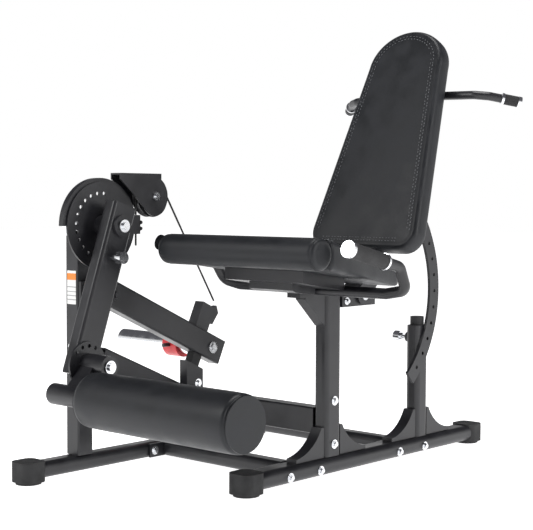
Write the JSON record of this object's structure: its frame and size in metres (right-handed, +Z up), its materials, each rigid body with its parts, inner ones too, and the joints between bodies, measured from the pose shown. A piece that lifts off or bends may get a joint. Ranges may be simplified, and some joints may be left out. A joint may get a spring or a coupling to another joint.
{
  "type": "leg extension machine",
  "caption": "Plate-loaded leg extension machine with a cable-driven lever, adjustable foam roller, padded seat and reclining backrest.",
  "frame": {"origin": "centre of the overall footprint on the floor", "axes": "+Z up, +Y towards the sitter's back, +X to the sitter's left"},
  "size_m": [1.0046, 1.238, 1.0892],
  "materials": {
    "black_powder_coat": "semi-gloss",
    "chrome": "polished",
    "leatherette": "matt",
    "rubber": "matt",
    "red_coat": "gloss",
    "label": "satin",
    "cable": "satin"
  },
  "bodies": {
    "frame": {"axle_hub_and_shaft": "chrome", "back_hinge_bolt": "chrome", "bumpers": "rubber", "cable_guided": "cable", "cross_tube": "black_powder_coat", "crossbar_plates": "black_powder_coat", "crossbars": "black_powder_coat", "frame_bolts": "chrome", "handle_bar": "black_powder_coat", "handle_chrome": "chrome", "handle_grips": "rubber", "left_post": "black_powder_coat", "lever_bracket_and_bolt": "black_powder_coat", "pin_housing": "black_powder_coat", "post_gussets": "black_powder_coat", "pulley_beam": "black_powder_coat", "pulley_bolt_pin": "chrome", "pulley_bracket": "black_powder_coat", "rail_left": "black_powder_coat", "rail_right": "black_powder_coat", "rear_post": "black_powder_coat", "right_upright": "black_powder_coat", "rubber_feet": "rubber", "seat_beam": "black_powder_coat", "seat_pad": "leatherette", "seat_roll": "leatherette", "seat_tray": "black_powder_coat", "stop_post": "black_powder_coat", "strut": "black_powder_coat", "upright_label": "label"},
    "drum": {"drum_plate": "black_powder_coat", "drum_rim": "black_powder_coat", "drum_clamp": "black_powder_coat", "cable_tail": "cable"},
    "arm": {"lifting_arm": "black_powder_coat", "arm_fittings": "black_powder_coat", "roller_hinge_bolt": "chrome"},
    "arm_pin_body": {"arm_pin": "chrome"},
    "roller_arm_body": {"roller_arm": "black_powder_coat", "roller_spindle": "black_powder_coat"},
    "roller_arm_pin_body": {"roller_arm_pin": "chrome"},
    "roller": {"roller_core": "black_powder_coat", "roller_pad": "leatherette", "roller_end_cap": "black_powder_coat"},
    "lever": {"weight_lever": "black_powder_coat", "lever_caps": "rubber", "lever_horn": "black_powder_coat", "weight_sleeve": "chrome"},
    "collar": {"spring_collar": "red_coat", "collar_pin": "black_powder_coat"},
    "pulley": {"pulley_wheel": "black_powder_coat"},
    "cable_free_run": {"cable_run": "cable"},
    "backrest": {"back_pad": "leatherette", "back_frame": "black_powder_coat", "back_ears": "black_powder_coat", "arc_plate": "black_powder_coat", "upper_bar": "black_powder_coat", "upper_grips": "rubber", "upper_chrome": "chrome"},
    "backrest_pin_body": {"backrest_pin": "chrome"}
  },
  "joints": [
    {"name": "disc_turn", "type": "hinge", "parent": "frame", "child": "drum", "pos_m": [-0.12625, -0.393, 0.598], "axis": [1, 0, 0], "range_deg": [-75, 0]},
    {"name": "arm_set", "type": "hinge", "parent": "drum", "child": "arm", "pos_m": [-0.12625, -0.393, 0.598], "axis": [1, 0, 0], "range_deg": [-106.4, 0]},
    {"name": "arm_pin_push", "type": "slide", "parent": "arm", "child": "arm_pin_body", "axis": [1, 0, 0], "range_m": [-0.005, 0], "stiffness_N_per_m": 300},
    {"name": "roller_arm_set", "type": "hinge", "parent": "arm", "child": "roller_arm_body", "pos_m": [-0.07725, -0.49903, 0.28655], "axis": [1, 0, 0], "range_deg": [-79.5, 0]},
    {"name": "roller_arm_pin_push", "type": "slide", "parent": "arm", "child": "roller_arm_pin_body", "axis": [1, 0, 0], "range_m": [0, 0.005], "stiffness_N_per_m": 300},
    {"name": "roller_spin", "type": "hinge", "parent": "roller_arm_body", "child": "roller", "pos_m": [0.21275, -0.558, 0.222], "axis": [1, 0, 0], "continuous": true},
    {"name": "lever_turn", "type": "hinge", "parent": "frame", "child": "lever", "pos_m": [-0.18525, -0.359, 0.4333], "axis": [1, 0, 0], "range_deg": [0, 31]},
    {"name": "collar_slide", "type": "slide", "parent": "lever", "child": "collar", "axis": [1, 0, 0], "range_m": [-0.18, 0.05]},
    {"name": "pulley_spin", "type": "hinge", "parent": "frame", "child": "pulley", "pos_m": [-0.18425, -0.2315, 0.667], "axis": [1, 0, 0], "range_deg": [0, 184]},
    {"name": "cable_follow", "type": "hinge", "parent": "frame", "child": "cable_free_run", "pos_m": [-0.18425, -0.2315, 0.667], "axis": [1, 0, 0], "range_deg": [0, 21.5], "deforming": ["cable_run"]},
    {"name": "backrest_recline", "type": "hinge", "parent": "frame", "child": "backrest", "pos_m": [0.20075, 0.092, 0.43], "axis": [1, 0, 0], "range_deg": [-49.2, 16.4]},
    {"name": "backrest_pin_push", "type": "slide", "parent": "frame", "child": "backrest_pin_body", "axis": [1, 0, 0], "range_m": [0, 0.007], "stiffness_N_per_m": 300}
  ],
  "couplings": [
    {"joint": "lever_turn", "follows": "disc_turn", "ratio": -0.41},
    {"joint": "pulley_spin", "follows": "disc_turn", "ratio": -2.436},
    {"joint": "cable_follow", "follows": "disc_turn", "ratio": -0.28}
  ]
}
